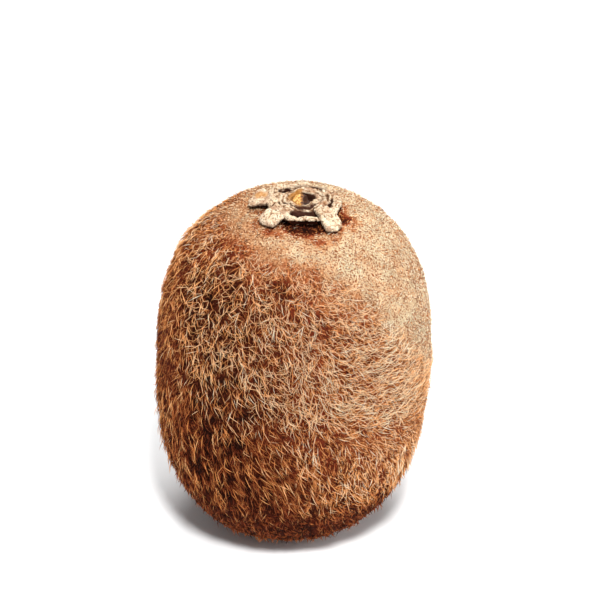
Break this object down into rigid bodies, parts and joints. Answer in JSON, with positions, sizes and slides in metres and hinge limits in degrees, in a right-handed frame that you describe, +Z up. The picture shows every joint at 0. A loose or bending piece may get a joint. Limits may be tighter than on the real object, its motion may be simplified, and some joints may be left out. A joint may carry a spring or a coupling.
{
  "type": "kiwi fruit",
  "caption": "Whole brown hairy kiwi fruit standing upright on its blossom end, with the dried calyx and broken stem stub on top.",
  "frame": {"origin": "centre of the bounding box's footprint, on the surface that the fruit stands on", "axes": "+Z up from the blossom end to the stem end, which is the fruit's long axis; +X to the right and +Y away as the fruit is seen from the front"},
  "size_m": [0.0504, 0.0464, 0.0681],
  "materials": {
    "skin": "dull brown skin under a felt of hair",
    "calyx": "dry, papery, pale tan",
    "stem_stub": "corky amber brown",
    "styles": "withered, dark brown"
  },
  "bodies": {
    "root": {"fruit": "skin", "calyx": "calyx", "stem_stub": "stem_stub", "style_tuft": "styles"}
  },
  "joints": []
}
